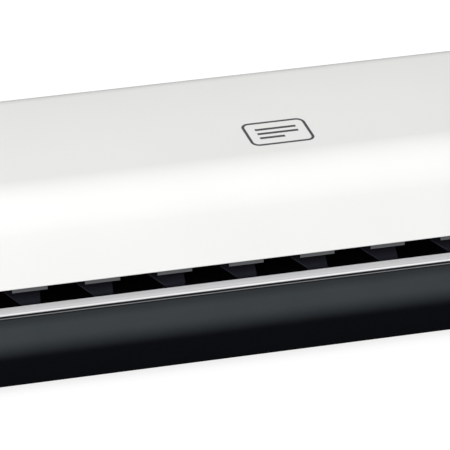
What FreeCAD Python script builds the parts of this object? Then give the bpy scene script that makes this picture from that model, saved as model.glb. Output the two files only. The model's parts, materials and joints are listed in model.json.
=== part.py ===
"""Desktop A3 pouch laminator: moulded case, roller and heater chassis, gear train, release and controls.

Frame: millimetres, +X along the machine to the operator's right, +Y to the rear, +Z up,
origin on the table below the middle of the case.
"""
import FreeCAD, Part
import math
import os
import re
import Sketcher

os.makedirs("parts", exist_ok=True)
doc = FreeCAD.newDocument("PouchLaminator")
V = FreeCAD.Vector

# ---------------------------------------------------------------- driving dimensions
SIZES = {
    # case envelope
    "overall_length": 500,
    "cap_thickness": 14,
    "cap_proud": 0.6,
    "wall": 2.5,
    "foot_height": 3,
    "half_slot": 170,
    # base tray section (depth, height)
    "base_toe_y": 70.75,
    "base_bulge_y": 74.75,
    "base_bulge_front": 17,
    "base_bulge_rear": 14,
    "base_top_y": 69.75,
    "base_back_y": 74,
    "base_top": 33,
    "bulge_radius": 8,
    # cover section
    "cover_bottom": 34.5,
    "cover_front_y": 62.74,
    "lip_height": 41.3,
    "shoulder_y": 47.7,
    "shoulder_z": 75.7,
    "shoulder_radius": 25,
    "crest_y": 34.5,
    "crest_z": 87.3,
    "crest_radius": 14,
    "brow_y": 66,
    "brow_z": 72,
    "cover_back_y": 74.2,
    "top_slope": 8.03,
    # entry strip and paper guides
    "strip_thickness": 0.8,
    "strip_front": 68.4,
    "strip_back": 61.5,
    "guide_half": 168.5,
    "finger_pitch": 31.1,
    "finger_width": 15,
    "finger_bottom": 38.6,
    # roller pairs
    "nip_height": 38,
    "roller_radius": 11,
    "roller_gap": 0.3,
    "core_radius": 7.5,
    "sleeve_half": 162,
    "journal_radius": 4,
    "running_gap": 0.05,
    "bush_radius": 7,
    "hot_y": -14,
    "pull_y": 22,
    # chassis
    "plate_x": 175.2,
    "plate_thickness": 1.6,
    "yoke_x": 172.6,
    "yoke_thickness": 2,
    "yoke_top": 61,
    "flange_z": 70,
    # release shaft and cams
    "release_y": 4,
    "release_z": 54,
    "release_radius": 3,
    "cam_radius": 5.2,
    "cam_offset": 2,
    "cam_rest": -30,
    "lever_rest": -25,
    "lever_reach": 36,
    "lever_throw": 60,
    # gear train
    "gear_module": 1,
    "gear_face": 8,
    "gear_inner": 180,
    "large_inner": 190,
    "large_face": 6,
    "idler_y": 4,
    "idler_z": 20.77,
    "compound_y": 37.4,
    "compound_z": 34.1,
    "pinion_y": 15.7,
    "pinion_z": 46.6,
    "stud_radius": 3,
    "motor_plate_x": 197.4,
    "motor_radius": 21,
    # control panel
    "panel_x": 207,
    "panel_y": -14,
    "panel_width": 46,
    "panel_depth": 40,
    "button_radius": 5,
    # mains side
    "inlet_x": 201,
    "inlet_z": 18,
    "rocker_x": 225.7,
    "rocker_y": 69,
}

sheet = doc.addObject("Spreadsheet::Sheet", "Dims")
for row, (name, size) in enumerate(SIZES.items(), start=1):
    sheet.set(f"A{row}", name)
    sheet.set(f"B{row}", str(size))
    sheet.setAlias(f"B{row}", name)
doc.recompute()


def ex(text):
    """Turn a formula over dimension names into an expression on the sheet."""
    return re.sub(r"[a-z_]+", lambda w: "Dims." + w.group() if w.group() in SIZES else w.group(), str(text))


def val(text):
    """Number that a formula over dimension names gives."""
    return float(sheet.evalExpression(ex(text)))


# ---------------------------------------------------------------- modelling helpers
ALONG_X = FreeCAD.Rotation(V(0, 1, 0), V(0, 0, 1), V(1, 0, 0))
ALONG_Y = FreeCAD.Rotation(V(0, 0, 1), V(1, 0, 0), V(0, 1, 0))
UPRIGHT = FreeCAD.Rotation()
counter = {"used": 0}


def fresh(stem):
    counter["used"] += 1
    return f"{stem}_{counter['used']}"


def seat(item, x, y, z):
    """Bind an object's position to the sheet."""
    for axis, text in zip("xyz", (x, y, z)):
        item.setExpression(f"Placement.Base.{axis}", ex(text))


def block(x0, x1, y0, y1, z0, z1, name="block"):
    box = doc.addObject("Part::Box", fresh(name))
    for side, low, high in (("Length", x0, x1), ("Width", y0, y1), ("Height", z0, z1)):
        box.setExpression(side, ex(f"({high}) - ({low})"))
    seat(box, x0, y0, z0)
    return box


def rod(radius, x0, x1, y, z, name="rod", start=None, sweep=None):
    """Round bar along X; with start and sweep angles it is a sector of one."""
    bar = doc.addObject("Part::Cylinder", fresh(name))
    bar.setExpression("Radius", ex(radius))
    bar.setExpression("Height", ex(f"({x1}) - ({x0})"))
    turn = ALONG_X
    if sweep is not None:
        bar.setExpression("Angle", ex(sweep))
        turn = FreeCAD.Rotation(V(1, 0, 0), val(start)).multiply(ALONG_X)
    bar.Placement = FreeCAD.Placement(V(), turn)
    seat(bar, x0, y, z)
    return bar


def post(radius, x, y, z0, z1, name="post"):
    bar = doc.addObject("Part::Cylinder", fresh(name))
    bar.setExpression("Radius", ex(radius))
    bar.setExpression("Height", ex(f"({z1}) - ({z0})"))
    seat(bar, x, y, z0)
    return bar


def peg(radius, x, y0, y1, z, name="peg"):
    bar = doc.addObject("Part::Cylinder", fresh(name))
    bar.setExpression("Radius", ex(radius))
    bar.setExpression("Height", ex(f"({y1}) - ({y0})"))
    bar.Placement = FreeCAD.Placement(V(), ALONG_Y)
    seat(bar, x, y0, z)
    return bar


def arm_block(swing, half_width, reach, x0, x1):
    """Radial bar from the release axis, at a swing angle measured up from the rear."""
    bar = block(x0, x1, "0", reach, "0", f"2*({half_width})", "arm")
    bar.Placement = FreeCAD.Placement(V(), FreeCAD.Rotation(V(1, 0, 0), val(swing)))
    seat(bar, x0, f"release_y + ({half_width})*sin({swing})", f"release_z - ({half_width})*cos({swing})")
    return bar


def join(label, *items):
    if len(items) == 1:
        items[0].Label = label
        return items[0]
    whole = doc.addObject("Part::MultiFuse", label)
    whole.Label = label
    whole.Shapes = list(items)
    return whole


def group(label, *items):
    """Several like pieces that stay separate solids in one sub-part."""
    whole = doc.addObject("Part::Compound", label)
    whole.Label = label
    whole.Links = list(items)
    return whole


def carve(label, base, *tools):
    whole = doc.addObject("Part::Cut", label)
    whole.Label = label
    whole.Base = base
    whole.Tool = tools[0] if len(tools) == 1 else join(fresh(label + "_tools"), *tools)
    return whole


def new_body(label):
    body = doc.addObject("PartDesign::Body", label)
    body.Label = label
    return body


def new_sketch(body, role, name, offset="0"):
    """Sketch on one of the body's own origin planes, moved along its normal."""
    flat = [item for item in body.Origin.OriginFeatures if item.Role == role][0]
    sketch = body.newObject("Sketcher::SketchObject", f"{body.Name}_{name}")
    sketch.AttachmentSupport = [(flat, "")]
    sketch.MapMode = "FlatFace"
    sketch.setExpression("AttachmentOffset.Base.z", ex(offset))
    return sketch


def pin(sketch, piece, vertex, u, v):
    """Hold a sketch point at a position given by two formulas."""
    for kind, zero_axis, text in (("DistanceX", -2, u), ("DistanceY", -1, v)):
        if abs(val(text)) < 1e-9:
            sketch.addConstraint(Sketcher.Constraint("PointOnObject", piece, vertex, zero_axis))
            continue
        index = sketch.addConstraint(Sketcher.Constraint(kind, -1, 1, piece, vertex, val(text)))
        tag = f"{kind.lower()}_{piece}_{vertex}"
        sketch.renameConstraint(index, tag)
        sketch.setExpression(f"Constraints.{tag}", ex(text))


def outline(sketch, corners):
    """Closed polygon whose corners follow the sheet."""
    first = sketch.GeometryCount
    spots = [V(val(u), val(v), 0) for u, v in corners]
    count = len(spots)
    for i in range(count):
        sketch.addGeometry(Part.LineSegment(spots[i], spots[(i + 1) % count]))
    for i in range(count):
        sketch.addConstraint(Sketcher.Constraint("Coincident", first + i, 2, first + (i + 1) % count, 1))
    for i, (u, v) in enumerate(corners):
        pin(sketch, first + i, 1, u, v)
    return sketch


def box_outline(sketch, u0, u1, v0, v1):
    return outline(sketch, [(u0, v0), (u1, v0), (u1, v1), (u0, v1)])


def ring(sketch, u, v, radius):
    """Circle in a sketch."""
    index = sketch.addGeometry(Part.Circle(V(val(u), val(v), 0), V(0, 0, 1), val(radius)))
    pin(sketch, index, 3, u, v)
    size = sketch.addConstraint(Sketcher.Constraint("Radius", index, val(radius)))
    tag = f"radius_{index}"
    sketch.renameConstraint(size, tag)
    sketch.setExpression(f"Constraints.{tag}", ex(radius))
    return sketch


def extrude(kind, body, sketch, length, symmetric=False, reverse=False):
    feature = body.newObject(f"PartDesign::{kind}", fresh(f"{body.Name}_{kind.lower()}"))
    feature.Profile = sketch
    feature.SideType = "Symmetric" if symmetric else "One side"
    feature.setExpression("Length", ex(length))
    feature.Reversed = reverse
    sketch.Visibility = False
    doc.recompute()
    return feature


def pad(body, sketch, length, **how):
    return extrude("Pad", body, sketch, length, **how)


def pocket(body, sketch, length, **how):
    """Pocket that must take material away."""
    before = body.Tip.Shape.Volume
    feature = extrude("Pocket", body, sketch, length, **how)
    if not feature.Shape.Volume < before - 0.01:
        raise RuntimeError(f"{feature.Name} removed nothing")
    return feature


def repeat(body, feature, sketch, length, count):
    """Row of one feature along the sketch's horizontal axis."""
    row = body.newObject("PartDesign::LinearPattern", fresh(f"{body.Name}_row"))
    row.Originals = [feature]
    row.Direction = (sketch, ["H_Axis"])
    row.setExpression("Length", ex(length))
    row.Occurrences = count
    body.Tip = row
    doc.recompute()
    return row


def blend(body, radius, wanted, kind="Fillet"):
    """Fillet or chamfer the edges of the tip that a test picks out."""
    base = body.Tip
    names = [f"Edge{i + 1}" for i, edge in enumerate(base.Shape.Edges) if wanted(edge)]
    if not names:
        raise RuntimeError(f"no edges to blend on {body.Name}")
    feature = body.newObject(f"PartDesign::{kind}", fresh(f"{body.Name}_{kind.lower()}"))
    feature.Base = (base, names)
    feature.setExpression("Radius" if kind == "Fillet" else "Size", ex(radius))
    doc.recompute()
    return feature


def lengthwise(*spots):
    """Test for straight edges along X through any of the given (depth, height) points."""
    places = [(val(y), val(z)) for y, z in spots]

    def wanted(edge):
        ends = [vertex.Point for vertex in edge.Vertexes]
        if len(ends) != 2 or abs(ends[0].x - ends[1].x) < 5:
            return False
        return any(all(math.hypot(p.y - y, p.z - z) < 0.3 for p in ends) for y, z in places)

    return wanted


def rim(x):
    """Test for the edges lying in the plane at x."""
    where = val(x)
    return lambda edge: all(abs(vertex.X - where) < 1e-4 for vertex in edge.Vertexes)


def plain(label, shape):
    """Sub-part whose outline is computed rather than sketched."""
    item = doc.addObject("Part::Feature", label)
    item.Label = label
    item.Shape = shape
    return item


# ---------------------------------------------------------------- case sections
half = "overall_length/2"
case_end = "overall_length/2 - cap_thickness"

COVER_OUTER = [
    ("-cover_front_y", "cover_bottom"),
    ("-shoulder_y", "shoulder_z"),
    ("crest_y", "crest_z"),
    ("brow_y", "brow_z"),
    ("cover_back_y", "cover_bottom"),
]
COVER_INNER = [
    ("-cover_front_y + 1.064*wall - 0.365*5", "cover_bottom - 5"),
    ("-shoulder_y + 0.733*wall", "shoulder_z - 0.907*wall"),
    ("crest_y - 0.162*wall", "crest_z - 1.033*wall"),
    ("brow_y - 0.857*wall", "brow_z - 0.695*wall"),
    ("cover_back_y - 1.031*wall + 1", "cover_bottom - 5"),
]
BASE_OUTER = [
    ("-base_toe_y", "foot_height"),
    ("-base_bulge_y", "base_bulge_front"),
    ("-base_top_y", "base_top"),
    ("-strip_front + 1.6", "base_top"),
    ("-strip_front + 1.6", "base_top + 0.6"),
    ("-strip_back", "base_top + 0.6"),
    ("-strip_back", "base_top"),
    ("base_back_y", "base_top"),
    ("base_bulge_y", "base_bulge_rear"),
    ("base_toe_y", "foot_height"),
]
BASE_INNER = [
    ("-base_toe_y + 0.95*wall", "foot_height + wall"),
    ("-base_bulge_y + 1.04*wall", "base_bulge_front"),
    ("-base_top_y + 0.75*wall", "base_top - wall"),
    ("-strip_back", "base_top - wall"),
    ("-strip_back", "base_top + 5"),
    ("base_back_y - 1.04*wall", "base_top + 5"),
    ("base_bulge_y - 1.04*wall", "base_bulge_rear"),
    ("base_toe_y - 0.95*wall", "foot_height + wall"),
]
BOSSES = [("226", "-52"), ("226", "50"), ("-226", "-52"), ("-226", "50")]
FRAME_SEATS = [("170", "-38"), ("170", "48"), ("-170", "-38"), ("-170", "48")]


def make_top_cover():
    body = new_body("top_cover")
    section = outline(new_sketch(body, "YZ_Plane", "section"), COVER_OUTER)
    pad(body, section, f"2*({case_end})", symmetric=True)
    hollow = outline(new_sketch(body, "YZ_Plane", "hollow"), COVER_INNER)
    pocket(body, hollow, "2*overall_length", symmetric=True)
    blend(body, "shoulder_radius - wall", lengthwise(COVER_INNER[1]))
    blend(body, "crest_radius - wall", lengthwise(COVER_INNER[2], COVER_INNER[3]))
    blend(body, "shoulder_radius", lengthwise(COVER_OUTER[1]))
    blend(body, "crest_radius", lengthwise(COVER_OUTER[2], COVER_OUTER[3]))
    slot = new_sketch(body, "XZ_Plane", "slot")
    box_outline(slot, "-half_slot", "half_slot", "cover_bottom - 1", "lip_height")
    pocket(body, slot, "4*cover_back_y", symmetric=True)
    panel = new_sketch(body, "XY_Plane", "panel", "shoulder_z - 12")
    box_outline(panel, "panel_x - panel_width/2", "panel_x + panel_width/2",
                "panel_y - panel_depth/2", "panel_y + panel_depth/2")
    pocket(body, panel, "40", reverse=True)
    vents = new_sketch(body, "XZ_Plane", "vents", "-cover_back_y - 1")
    box_outline(vents, "-152", "-148.5", "50", "64")
    first = pocket(body, vents, "20", reverse=True)
    repeat(body, first, vents, "300", 31)
    for index, (x, y) in enumerate(BOSSES):
        boss = new_sketch(body, "XY_Plane", f"boss{index}", "36")
        ring(boss, x, y, "4")
        pad(body, boss, "16" if y.startswith("-") else "41.3")
        hole = new_sketch(body, "XY_Plane", f"pilot{index}", "35")
        ring(hole, x, y, "1.3")
        pocket(body, hole, "13", reverse=True)
    blend(body, "0.4", lengthwise(("-cover_front_y + 0.365*(lip_height - cover_bottom)", "lip_height")))
    return body


def make_base_tray():
    body = new_body("base_tray")
    section = outline(new_sketch(body, "YZ_Plane", "section"), BASE_OUTER)
    pad(body, section, f"2*({case_end})", symmetric=True)
    blend(body, "bulge_radius", lengthwise(BASE_OUTER[1], BASE_OUTER[8]))
    blend(body, "2", lengthwise(BASE_OUTER[0], BASE_OUTER[9]))
    blend(body, "0.8", lengthwise(BASE_OUTER[2]))
    hollow = outline(new_sketch(body, "YZ_Plane", "hollow"), BASE_INNER)
    pocket(body, hollow, "2*overall_length", symmetric=True)
    for index, (x, y) in enumerate(BOSSES):
        boss = new_sketch(body, "XY_Plane", f"boss{index}", "foot_height")
        ring(boss, x, y, "5")
        pad(body, boss, "36 - foot_height")
        for radius, depth, tag in (("3.4", "6", "head"), ("1.9", "40", "hole")):
            bore = new_sketch(body, "XY_Plane", f"{tag}{index}", "foot_height")
            ring(bore, x, y, radius)
            pocket(body, bore, depth, reverse=True)
    for index, (x, y) in enumerate(FRAME_SEATS):
        seat_pad = new_sketch(body, "XY_Plane", f"seat{index}", "foot_height")
        ring(seat_pad, x, y, "6")
        pad(body, seat_pad, "5")
        for radius, depth, tag in (("3.4", "2.4", "seathead"), ("1.9", "9", "seathole")):
            bore = new_sketch(body, "XY_Plane", f"{tag}{index}", "foot_height")
            ring(bore, x, y, radius)
            pocket(body, bore, depth, reverse=True)
    vents = new_sketch(body, "XY_Plane", "vents", "foot_height - 1")
    box_outline(vents, "-140", "-136", "-34", "6")
    first = pocket(body, vents, "6", reverse=True)
    repeat(body, first, vents, "276", 24)
    inlet = new_sketch(body, "XZ_Plane", "inlet", "-base_bulge_y - 4")
    box_outline(inlet, "inlet_x - 14.2", "inlet_x + 14.2", "inlet_z - 11.2", "inlet_z + 11.2")
    box_outline(inlet, "rocker_x - 7.7", "rocker_x + 7.7", "inlet_z - 11.2", "inlet_z + 11.2")
    pocket(body, inlet, "14", reverse=True)
    return body


CAP_SECTION = [
    ("-base_toe_y - cap_proud", "foot_height"),
    ("-base_bulge_y - cap_proud", "base_bulge_front"),
    ("-base_top_y - cap_proud", "base_top + 1.9"),
    ("-cover_front_y - 0.66", "base_top + 1.9"),
    ("-shoulder_y - 0.52", "shoulder_z + 0.6"),
    ("crest_y", "crest_z + 0.7"),
    ("brow_y + 0.6", "brow_z + 0.5"),
    ("base_bulge_y + cap_proud", "base_top"),
    ("base_bulge_y + cap_proud", "base_bulge_rear"),
    ("base_toe_y + cap_proud", "foot_height"),
]
CAP_HOLLOW = [
    ("-base_toe_y + 2", "foot_height + wall"),
    ("-base_bulge_y + 2", "base_bulge_front"),
    ("-base_top_y + 2", "base_top - 1"),
    ("-cover_front_y + 2.6", "base_top - 1"),
    ("-shoulder_y + 1.6", "shoulder_z - 2"),
    ("crest_y", "crest_z - 2.4"),
    ("brow_y - 2.2", "brow_z - 1.8"),
    ("base_bulge_y - 2", "base_top"),
    ("base_bulge_y - 2", "base_bulge_rear"),
    ("base_toe_y - 2", "foot_height + wall"),
]


def make_end_cap(label, side):
    """Moulded end cap; side is +1 at the operator's right and -1 at the left."""
    body = new_body(label)
    low = case_end if side > 0 else f"-({half})"
    pad(body, outline(new_sketch(body, "YZ_Plane", "section", low), CAP_SECTION), "cap_thickness")
    inner = new_sketch(body, "YZ_Plane", "hollow", f"{side}*({case_end})")
    outline(inner, CAP_HOLLOW)
    pocket(body, inner, "cap_thickness - wall - 0.5", reverse=side > 0)
    blend(body, "shoulder_radius - wall", lengthwise(CAP_HOLLOW[4]))
    blend(body, "crest_radius - wall", lengthwise(CAP_HOLLOW[5], CAP_HOLLOW[6]))
    blend(body, "shoulder_radius + cap_proud", lengthwise(CAP_SECTION[4]))
    blend(body, "crest_radius + cap_proud", lengthwise(CAP_SECTION[5], CAP_SECTION[6]))
    blend(body, "bulge_radius", lengthwise(CAP_SECTION[1], CAP_SECTION[8]))
    blend(body, "3", lengthwise(CAP_SECTION[0], CAP_SECTION[9], CAP_SECTION[7]))
    blend(body, "1.5", lengthwise(CAP_SECTION[2], CAP_SECTION[3]))
    blend(body, "1.8", rim(half if side > 0 else f"-({half})"))
    vents = new_sketch(body, "YZ_Plane", "vents", f"{side}*({case_end})")
    box_outline(vents, "-52", "-18", "22", "24.5")
    box_outline(vents, "-52", "-18", "27.5", "30")
    box_outline(vents, "-52", "-18", "33", "35.5")
    box_outline(vents, "-52", "-18", "38.5", "41")
    pocket(body, vents, "cap_thickness + 1", reverse=side > 0)
    return body


left_end_cap = make_end_cap("left_end_cap", -1)
right_shell = make_end_cap("right_cap_shell", 1)
LEVER_ENDS = ("lever_rest", "lever_rest + lever_throw")
boss_depth = (case_end, f"{half} - 2")
lever_boss = rod("lever_reach + 6.5", *boss_depth, "release_y", "release_z", "boss",
                 "lever_rest - 10", "lever_throw + 20")
hub_boss = rod("13", *boss_depth, "release_y", "release_z")
arm_bosses = [arm_block(swing, "9.7", "lever_reach + 5.5", *boss_depth) for swing in LEVER_ENDS]
recess_depth = (f"{half} - 7.1", f"{half} + 3")
recess = rod("lever_reach + 4", *recess_depth, "release_y", "release_z", "recess",
             "lever_rest - 8", "lever_throw + 16")
hub_recess = rod("10.5", *recess_depth, "release_y", "release_z")
arm_recesses = [arm_block(swing, "7.2", "lever_reach + 3.3", *recess_depth) for swing in LEVER_ENDS]
shaft_hole = rod("release_radius + 0.4", f"{case_end} - 1", half, "release_y", "release_z")
right_cap_solid = join("right_cap_solid", right_shell, lever_boss, hub_boss, *arm_bosses)
right_end_cap = carve("right_end_cap", right_cap_solid, recess, hub_recess, *arm_recesses, shaft_hole)
top_cover = make_top_cover()
base_tray = make_base_tray()


# ---------------------------------------------------------------- entry strip and paper guides
def section_part(label, corners, half_width):
    """Constant section along the machine."""
    body = new_body(label)
    section = outline(new_sketch(body, "YZ_Plane", "section"), corners)
    pad(body, section, f"2*({half_width})", symmetric=True)
    return body


STRIP_BASE = "base_top + 0.6"
entry_strip = section_part("entry_strip", [
    ("-strip_front", STRIP_BASE),
    ("-strip_front", f"{STRIP_BASE} + strip_thickness"),
    ("-strip_back", f"{STRIP_BASE} + strip_thickness"),
    ("-strip_back", STRIP_BASE),
], f"{case_end} - 0.2")
blend(entry_strip, "0.35", lengthwise(("-strip_front", STRIP_BASE),
                                      ("-strip_front", f"{STRIP_BASE} + strip_thickness")))

FIRST_FINGER = "-4.5*finger_pitch"
lower_entry_guide = section_part("lower_entry_guide", [
    ("-strip_back + 0.15", "base_top + 0.5"),
    ("-27", "base_top + 1.3"),
    ("-27", "base_top - 0.2"),
    ("-strip_back + 0.15", "base_top - 1.1"),
], "guide_half")
ramp = new_sketch(lower_entry_guide, "XY_Plane", "ramp", "base_top + 0.2")
outline(ramp, [
    (f"{FIRST_FINGER} - 3.5", "-strip_back + 0.8"),
    (f"{FIRST_FINGER} + 3.5", "-strip_back + 0.8"),
    (f"{FIRST_FINGER} + 0.5*finger_width", "-45"),
    (f"{FIRST_FINGER} - 0.5*finger_width", "-45"),
])
first_ramp = pad(lower_entry_guide, ramp, "0.95")
repeat(lower_entry_guide, first_ramp, ramp, "9*finger_pitch", 10)

upper_entry_guide = section_part("upper_entry_guide", [
    ("-51", "finger_bottom + 1.2"),
    ("-27", "finger_bottom + 1.2"),
    ("-27", "finger_bottom + 2.8"),
    ("-50", "finger_bottom + 2.8"),
    ("-48.5", "52"),
    ("-50.1", "52"),
], "guide_half")
finger = new_sketch(upper_entry_guide, "YZ_Plane", "finger", f"{FIRST_FINGER} - 0.5*finger_width")
outline(finger, [
    ("-57.1", "finger_bottom"),
    ("-49", "finger_bottom"),
    ("-49", "finger_bottom + 2"),
    ("-49.8", "finger_bottom + 9"),
    ("-55.3", "finger_bottom + 5.5"),
    ("-57.1", "finger_bottom + 3.2"),
])
first_finger = pad(upper_entry_guide, finger, "finger_width")
finger_row = upper_entry_guide.newObject("PartDesign::LinearPattern", "finger_row")
finger_row.Originals = [first_finger]
long_axis = [item for item in upper_entry_guide.Origin.OriginFeatures if item.Role == "X_Axis"][0]
finger_row.Direction = (long_axis, [""])
finger_row.setExpression("Length", ex("9*finger_pitch"))
finger_row.Occurrences = 10
upper_entry_guide.Tip = finger_row
doc.recompute()

lower_exit_guide = section_part("lower_exit_guide", [
    ("34.5", "base_top + 1.4"),
    ("base_back_y - 0.4", "base_top + 0.9"),
    ("base_back_y - 0.4", "base_top"),
    ("base_back_y - 4.2", "base_top"),
    ("base_back_y - 4.2", "base_top - 1"),
    ("34.5", "base_top - 0.2"),
], "guide_half")
upper_exit_guide = section_part("upper_exit_guide", [
    ("34.5", "lip_height - 1.8"),
    ("69.3", "lip_height - 1"),
    ("66.6", "56"),
    ("65", "56"),
    ("67.4", "lip_height + 0.6"),
    ("34.5", "lip_height - 0.2"),
], "guide_half")

# ---------------------------------------------------------------- chassis
TIE_ENDS = [("-40", "20"), ("50", "18"), ("48", "54")]
LOWER_Z = "nip_height - roller_radius - roller_gap/2"
UPPER_Z = "nip_height + roller_radius + roller_gap/2"


def mirrored(side, near, far):
    """Pair of X positions on one side, always low value first."""
    return (near, far) if side > 0 else (f"-({far})", f"-({near})")


def make_side_plate(label, side):
    body = new_body(label)
    low, high = mirrored(side, "plate_x", "plate_x + plate_thickness")
    sketch = new_sketch(body, "YZ_Plane", "plate", low)
    outline(sketch, [("-46", "8"), ("58", "8"), ("58", "58"), ("34", "flange_z + 1.6"),
                     ("-30", "flange_z + 1.6"), ("-46", "50")])
    for y in ("hot_y", "pull_y"):
        ring(sketch, y, LOWER_Z, "bush_radius")
        box_outline(sketch, f"{y} - 5.5", f"{y} + 5.5", f"{UPPER_Z} - 5.5", f"{UPPER_Z} + 7.5")
    ring(sketch, "release_y", "release_z", "release_radius + running_gap")
    for y, z in TIE_ENDS:
        ring(sketch, y, z, "1.7")
    pad(body, sketch, "plate_thickness")
    inner = "plate_x - 6.6"
    flanges = [("-22", "30", "flange_z", "flange_z + 1.6", inner),
               ("-46", "-30", "8", "9.6", "plate_x - 11"),
               ("40", "56", "8", "9.6", "plate_x - 11"),
               ("-28.2", "-26.2", "42", "66", "yoke_x - 0.6"),
               ("34.2", "36.2", "42", "66", "yoke_x - 0.6")]
    for index, (y0, y1, z0, z1, reach) in enumerate(flanges):
        first, last = mirrored(side, reach, "plate_x + 0.1")
        tab = new_sketch(body, "YZ_Plane", f"tab{index}", first)
        box_outline(tab, y0, y1, z0, z1)
        pad(body, tab, f"({last}) - ({first})")
    for index, y in enumerate(("-38", "48")):
        hole = new_sketch(body, "XY_Plane", f"screw{index}", "7")
        ring(hole, f"{side}*170", y, "1.6")
        pocket(body, hole, "4", reverse=True)
    return body


left_side_plate = make_side_plate("left_side_plate", -1)
right_side_plate = make_side_plate("right_side_plate", 1)


def make_yoke(label, side):
    body = new_body(label)
    low, high = mirrored(side, "yoke_x", "yoke_x + yoke_thickness")
    sketch = new_sketch(body, "YZ_Plane", "plate", low)
    box_outline(sketch, "-26", "34", "42", "yoke_top")
    for y in ("hot_y", "pull_y"):
        ring(sketch, y, UPPER_Z, "bush_radius")
    box_outline(sketch, "release_y - 4.2", "release_y + 8.2", "release_z - 7.5",
                "release_z + cam_offset*sin(cam_rest) + cam_radius + 0.12")
    pad(body, sketch, "yoke_thickness")
    first, last = mirrored(side, "yoke_x - 3.8", "yoke_x + 0.1")
    for index, y in enumerate(("hot_y", "pull_y")):
        tab = new_sketch(body, "YZ_Plane", f"seat{index}", first)
        box_outline(tab, f"{y} - 4", f"{y} + 4", "yoke_top - 1", "yoke_top")
        pad(body, tab, f"({last}) - ({first})")
    return body


left_yoke = make_yoke("left_yoke", -1)
right_yoke = make_yoke("right_yoke", 1)

tie_rods = group("tie_rods", *[rod("3", "-plate_x", "plate_x", y, z, "tie") for y, z in TIE_ENDS])


def side_screw(side, y, z, face, head=3.2, shank=1.6, length=9):
    """Cross-recess screw along X whose head bears on the plate face."""
    if side > 0:
        cap = rod(head, face, f"{face} + 2", y, z, "screw_head")
        stem = rod(shank, f"{face} - {length}", f"{face} + 1", y, z, "screw_stem")
        slot_x = (f"{face} + 1.2", f"{face} + 2.2")
    else:
        cap = rod(head, f"-({face}) - 2", f"-({face})", y, z, "screw_head")
        stem = rod(shank, f"-({face}) - 1", f"-({face}) + {length}", y, z, "screw_stem")
        slot_x = (f"-({face}) - 2.2", f"-({face}) - 1.2")
    bars = [block(*slot_x, f"({y}) - 1.8", f"({y}) + 1.8", f"({z}) - 0.4", f"({z}) + 0.4"),
            block(*slot_x, f"({y}) - 0.4", f"({y}) + 0.4", f"({z}) - 1.8", f"({z}) + 1.8")]
    return carve(fresh("screw"), join(fresh("screw_blank"), cap, stem), *bars)


def upward_screw(x, y, z, head=3.1, shank=1.5, length=12):
    """Cross-recess screw driven upward from below; z is the seat of its head."""
    cap = post(head, x, y, f"{z} - 2", z, "screw_head")
    stem = post(shank, x, y, f"{z} - 1", f"{z} + {length}", "screw_stem")
    bars = [block(f"{x} - 1.8", f"{x} + 1.8", f"{y} - 0.4", f"{y} + 0.4", f"{z} - 2.2", f"{z} - 1.2"),
            block(f"{x} - 0.4", f"{x} + 0.4", f"{y} - 1.8", f"{y} + 1.8", f"{z} - 2.2", f"{z} - 1.2")]
    return carve(fresh("screw"), join(fresh("screw_blank"), cap, stem), *bars)


PLATE_FACE = "plate_x + plate_thickness"
tie_screws = [side_screw(side, y, z, PLATE_FACE, length=1.5) for side in (1, -1) for y, z in TIE_ENDS]
case_screws = group("case_screws", *[upward_screw(x, y, "foot_height + 6", shank=1.25, length=39)
                                     for x, y in BOSSES])


def foot(x, y):
    sole = post("9", x, y, "0", "foot_height", "foot")
    dimple = post("4", x, y, "-1", "1.4", "dimple")
    return carve(fresh("rubber_foot"), sole, dimple)


rubber_feet = group("rubber_feet", *[foot(x, y) for x in ("-205", "205") for y in ("-54", "54")])

# ---------------------------------------------------------------- roller pairs
JOURNAL_LEFT = "gear_inner + gear_face + 0.5"


def make_roller(name, y, z):
    core = rod("core_radius", "-sleeve_half - 2", "sleeve_half + 2", y, z, "core")
    journal = rod("journal_radius", f"-({JOURNAL_LEFT})", "plate_x + 5", y, z, "journal")
    shaft = join(f"{name}_roller_shaft", core, journal)
    skin = rod("roller_radius", "-sleeve_half", "sleeve_half", y, z, "skin")
    bore = rod("core_radius", "-sleeve_half - 3", "sleeve_half + 3", y, z, "bore")
    return shaft, carve(f"{name}_roller_sleeve", skin, bore)


rollers = []
for roller_name, roller_y, roller_z in (("lower_hot", "hot_y", LOWER_Z), ("lower_pull", "pull_y", LOWER_Z),
                                        ("upper_hot", "hot_y", UPPER_Z), ("upper_pull", "pull_y", UPPER_Z)):
    rollers.extend(make_roller(roller_name, roller_y, roller_z))


def bush(side, y, z, flange_x, barrel_end, flange_radius):
    low, high = mirrored(side, flange_x, f"{flange_x} + 1.2")
    start, end = mirrored(side, flange_x, barrel_end)
    ring_part = rod(flange_radius, low, high, y, z, "flange")
    barrel = rod("bush_radius", start, end, y, z, "barrel")
    hole = rod("journal_radius + running_gap", f"({start}) - 1", f"({end}) + 1", y, z, "hole")
    return carve(fresh("bush"), join(fresh("bush_blank"), ring_part, barrel), hole)


lower_roller_bushes = group("lower_roller_bushes", *[
    bush(side, y, LOWER_Z, "plate_x - 1.2", "plate_x + plate_thickness + 1.4", "9")
    for side in (1, -1) for y in ("hot_y", "pull_y")])
upper_roller_bushes = group("upper_roller_bushes", *[
    bush(side, y, UPPER_Z, "yoke_x - 1.2", "yoke_x + yoke_thickness + 0.2", "8.2")
    for side in (1, -1) for y in ("hot_y", "pull_y")])


def coil(x, y, bottom, top, radius, wire, turns):
    """Compression spring standing upright, as a round wire swept along a helix."""
    height = top - bottom - 2 * wire
    path = Part.makeHelix(height / turns, height, radius)
    section = Part.Wire(Part.makeCircle(wire, V(radius, 0, 0), V(0, 1, 0)))
    body = Part.Wire(path).makePipeShell([section], True, True)
    body.translate(V(x, y, bottom + wire))
    return body


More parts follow.
